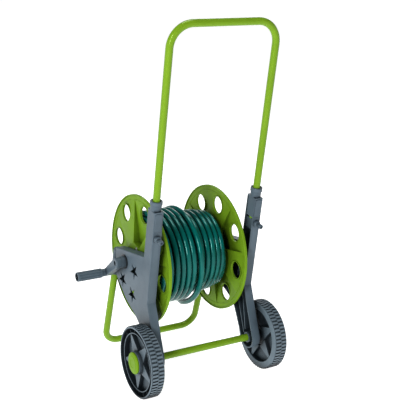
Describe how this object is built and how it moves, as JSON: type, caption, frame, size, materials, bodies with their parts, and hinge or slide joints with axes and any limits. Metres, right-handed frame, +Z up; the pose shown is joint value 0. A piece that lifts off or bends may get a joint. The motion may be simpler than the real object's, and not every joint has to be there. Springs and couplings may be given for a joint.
{
  "type": "garden hose reel cart",
  "caption": "Two-wheeled garden hose cart with a tall loop handle, a rear stand and a crank-driven reel wound with hose.",
  "frame": {"origin": "on the floor, under the middle of the cart's bounding box", "axes": "+Z up, -Y towards the user and the wheels, +Y towards the stand, -X the crank side"},
  "size_m": [0.4808, 0.4274, 0.9613],
  "materials": {
    "grey_moulding": "satin",
    "dark_moulding": "satin",
    "crank_moulding": "satin",
    "green_moulding": "satin",
    "green_tube": "gloss",
    "housing_moulding": "satin",
    "wheel_moulding": "satin",
    "zinc_steel": "satin",
    "water_tube_brass": "satin",
    "spring_steel": "satin",
    "seal_rubber": "matte",
    "hose_vinyl": "gloss"
  },
  "bodies": {
    "frame": {"left_side_frame": "grey_moulding", "right_side_frame": "grey_moulding", "left_guide_bush": "grey_moulding", "right_guide_bush": "grey_moulding", "left_lock_housing": "housing_moulding", "right_lock_housing": "housing_moulding", "left_lock_spring": "spring_steel", "right_lock_spring": "spring_steel", "stand_tube": "green_tube", "stand_screws": "zinc_steel", "axle_tube": "green_tube", "axle_rod": "zinc_steel", "axle_washers": "zinc_steel", "push_caps": "zinc_steel", "left_reel_bush": "dark_moulding", "right_reel_bush": "dark_moulding"},
    "handle": {"handle_tube": "green_tube", "left_handle_plug": "grey_moulding", "right_handle_plug": "grey_moulding"},
    "lock_left": {"left_lock_pin": "grey_moulding"},
    "lock_right": {"right_lock_pin": "grey_moulding"},
    "wheel_left": {"left_wheel": "wheel_moulding", "left_hub_cap": "green_moulding"},
    "wheel_right": {"right_wheel": "wheel_moulding", "right_hub_cap": "green_moulding"},
    "reel": {"left_flange": "green_moulding", "right_flange": "green_moulding", "drum_rear_half": "dark_moulding", "drum_front_half": "dark_moulding", "flange_screws": "zinc_steel", "water_tube": "water_tube_brass", "water_tube_seals": "seal_rubber", "water_tube_circlip": "zinc_steel", "outlet_elbow": "dark_moulding", "hose_clamp": "zinc_steel", "hose_winding": "hose_vinyl", "connector_nut": "green_moulding", "connector_body": "dark_moulding", "crank_arm": "crank_moulding", "crank_screw": "zinc_steel", "grip_pin": "zinc_steel"},
    "grip": {"crank_grip": "crank_moulding"},
    "inlet": {"inlet_elbow": "dark_moulding", "inlet_seal": "seal_rubber"},
    "release_collar": {"connector_collar": "green_moulding"}
  },
  "joints": [
    {"name": "handle_slide", "type": "slide", "parent": "frame", "child": "handle", "axis": [0, 0.1516, -0.9884], "range_m": [0, 0.13]},
    {"name": "left_lock_pull", "type": "slide", "parent": "frame", "child": "lock_left", "axis": [0, -0.9884, -0.1516], "range_m": [0, 0.005], "stiffness_N_per_m": 600, "springref_m": -0.005, "deforming": ["left_lock_spring"]},
    {"name": "right_lock_pull", "type": "slide", "parent": "frame", "child": "lock_right", "axis": [0, -0.9884, -0.1516], "range_m": [0, 0.005], "stiffness_N_per_m": 600, "springref_m": -0.005, "deforming": ["right_lock_spring"]},
    {"name": "left_wheel_spin", "type": "hinge", "parent": "frame", "child": "wheel_left", "pos_m": [0.0281, -0.11868, 0.095], "axis": [1, 0, 0], "continuous": true},
    {"name": "right_wheel_spin", "type": "hinge", "parent": "frame", "child": "wheel_right", "pos_m": [0.0281, -0.11868, 0.095], "axis": [1, 0, 0], "continuous": true},
    {"name": "reel_spin", "type": "hinge", "parent": "frame", "child": "reel", "pos_m": [0.0281, 0.03893, 0.3106], "axis": [1, 0, 0], "continuous": true},
    {"name": "grip_spin", "type": "hinge", "parent": "reel", "child": "grip", "pos_m": [0.0281, 0.10323, 0.26301], "axis": [1, 0, 0], "continuous": true},
    {"name": "inlet_swivel", "type": "hinge", "parent": "frame", "child": "inlet", "pos_m": [0.2041, 0.03893, 0.3106], "axis": [1, 0, 0], "continuous": true},
    {"name": "collar_release", "type": "slide", "parent": "reel", "child": "release_collar", "axis": [0, -0.5299, -0.848], "range_m": [0, 0.004], "stiffness_N_per_m": 800, "springref_m": -0.003}
  ]
}
